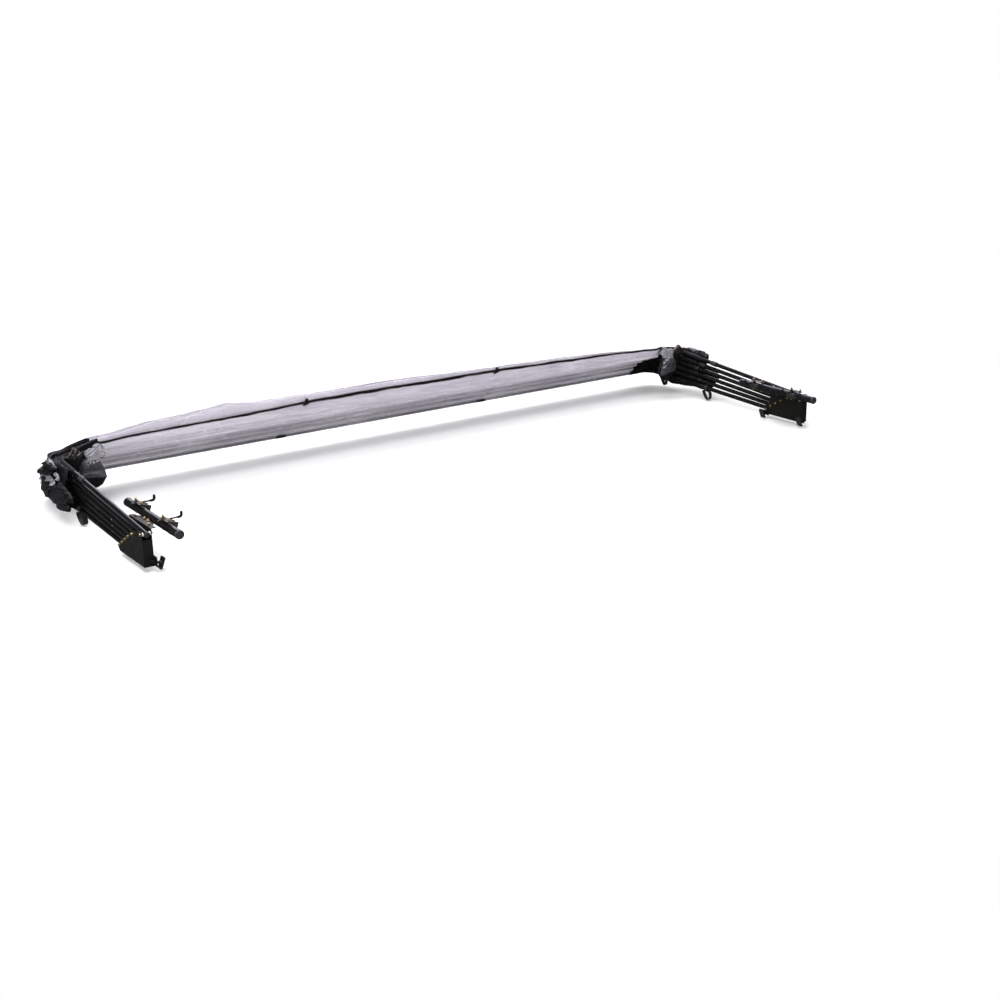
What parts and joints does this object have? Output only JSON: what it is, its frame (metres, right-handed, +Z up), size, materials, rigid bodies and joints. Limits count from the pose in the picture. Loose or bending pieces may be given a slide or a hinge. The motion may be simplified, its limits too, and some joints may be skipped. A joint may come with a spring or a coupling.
{
  "type": "fold-back pool canopy",
  "caption": "Fold-back pool canopy: U-shaped tube hoops fan open on two hinge boxes clamped to the pool legs, with clear film bays and black cloth ends gathered on the hoops.",
  "frame": {"origin": "bottom centre of the stowed canopy's box; the centre of the pool opening at rim height is at y -0.573, z 0.434", "axes": "+X along the pool's length (left to right), +Y from the pool towards the side where the canopy is stowed, +Z up"},
  "size_m": [4.968, 1.858, 0.482],
  "materials": {
    "hinge_black": "satin",
    "rail_black": "satin",
    "tube_black": "satin",
    "hook_steel": "satin",
    "foot_steel": "satin",
    "yellow_zinc": "polished",
    "cap_plastic": "satin",
    "saddle_rubber": "matte",
    "nylon": "satin",
    "clear_film": "gloss",
    "black_cloth": "matte",
    "webbing": "matte"
  },
  "bodies": {
    "root": {"left_hinge_cover": "hinge_black", "right_hinge_cover": "hinge_black", "left_back_plate": "hinge_black", "right_back_plate": "hinge_black", "left_clamp_rail": "rail_black", "right_clamp_rail": "rail_black", "shelf_brackets": "hinge_black", "rail_tabs": "hinge_black", "rail_end_caps": "cap_plastic", "hook_rods": "hook_steel", "clamp_strips": "hinge_black", "clamp_bolts": "yellow_zinc", "leg_saddles": "saddle_rubber", "foot_blocks": "hinge_black", "pivot_bolts": "yellow_zinc", "pivot_spacers": "nylon", "bracket_bolts": "yellow_zinc", "lock_nuts": "yellow_zinc"},
    "hoop_1": {"hoop_1_arms": "tube_black", "hoop_1_corner_tubes": "tube_black", "hoop_1_centre_tube": "tube_black", "hoop_1_plug_and_collars": "cap_plastic"},
    "hoop_2": {"hoop_2_arms": "tube_black", "hoop_2_corner_tubes": "tube_black", "hoop_2_centre_tube": "tube_black", "hoop_2_plug_and_collars": "cap_plastic", "film_bay_1": "clear_film"},
    "hoop_3": {"hoop_3_arms": "tube_black", "hoop_3_corner_tubes": "tube_black", "hoop_3_centre_tube": "tube_black", "hoop_3_plug_and_collars": "cap_plastic", "film_bay_2": "clear_film", "left_end_cloth": "black_cloth", "right_end_cloth": "black_cloth"},
    "hoop_4": {"hoop_4_arms": "tube_black", "hoop_4_corner_tubes": "tube_black", "hoop_4_centre_tube": "tube_black", "hoop_4_plug_and_collars": "cap_plastic", "film_bay_3": "clear_film"},
    "hoop_5": {"hoop_5_arms": "tube_black", "hoop_5_corner_tubes": "tube_black", "hoop_5_centre_tube": "tube_black", "hoop_5_plug_and_collars": "cap_plastic", "film_bay_4": "clear_film"},
    "hoop_6": {"hoop_6_arms": "tube_black", "hoop_6_corner_tubes": "tube_black", "hoop_6_centre_tube": "tube_black", "hoop_6_plug_and_collars": "cap_plastic", "film_bay_5": "clear_film", "webbing_loops": "webbing"},
    "left_front_foot": {"left_front_foot_stem": "foot_steel", "left_front_foot_pad": "saddle_rubber"},
    "left_back_foot": {"left_back_foot_stem": "foot_steel", "left_back_foot_pad": "saddle_rubber"},
    "right_front_foot": {"right_front_foot_stem": "foot_steel", "right_front_foot_pad": "saddle_rubber"},
    "right_back_foot": {"right_back_foot_stem": "foot_steel", "right_back_foot_pad": "saddle_rubber"}
  },
  "joints": [
    {"name": "hoop_1_swing", "type": "hinge", "parent": "root", "child": "hoop_1", "pos_m": [0, -0.724, 0.207], "axis": [1, 0, 0], "range_deg": [0, 170]},
    {"name": "hoop_2_swing", "type": "hinge", "parent": "root", "child": "hoop_2", "pos_m": [0, -0.605, 0.179], "axis": [1, 0, 0], "range_deg": [0, 137.5]},
    {"name": "hoop_3_swing", "type": "hinge", "parent": "root", "child": "hoop_3", "pos_m": [0, -0.542, 0.15], "axis": [1, 0, 0], "range_deg": [0, 104.5]},
    {"name": "hoop_4_swing", "type": "hinge", "parent": "root", "child": "hoop_4", "pos_m": [0, -0.492, 0.12], "axis": [1, 0, 0], "range_deg": [0, 72]},
    {"name": "hoop_5_swing", "type": "hinge", "parent": "root", "child": "hoop_5", "pos_m": [0, -0.446, 0.092], "axis": [1, 0, 0], "range_deg": [0, 39.5]},
    {"name": "hoop_6_swing", "type": "hinge", "parent": "root", "child": "hoop_6", "pos_m": [0, -0.397, 0.062], "axis": [1, 0, 0], "range_deg": [0, 7.5]},
    {"name": "left_front_foot_screw", "type": "slide", "parent": "root", "child": "left_front_foot", "axis": [-0.9373, 0, 0.3487], "range_m": [0, 0.005]},
    {"name": "left_back_foot_screw", "type": "slide", "parent": "root", "child": "left_back_foot", "axis": [-0.9373, 0, 0.3487], "range_m": [0, 0.005]},
    {"name": "right_front_foot_screw", "type": "slide", "parent": "root", "child": "right_front_foot", "axis": [0.9373, 0, 0.3487], "range_m": [0, 0.005]},
    {"name": "right_back_foot_screw", "type": "slide", "parent": "root", "child": "right_back_foot", "axis": [0.9373, 0, 0.3487], "range_m": [0, 0.005]}
  ],
  "couplings": [
    {"joint": "hoop_2_swing", "follows": "hoop_1_swing", "ratio": 0.806},
    {"joint": "hoop_3_swing", "follows": "hoop_1_swing", "ratio": 0.613},
    {"joint": "hoop_4_swing", "follows": "hoop_1_swing", "ratio": 0.421},
    {"joint": "hoop_5_swing", "follows": "hoop_1_swing", "ratio": 0.23},
    {"joint": "hoop_6_swing", "follows": "hoop_1_swing", "ratio": 0.04}
  ]
}
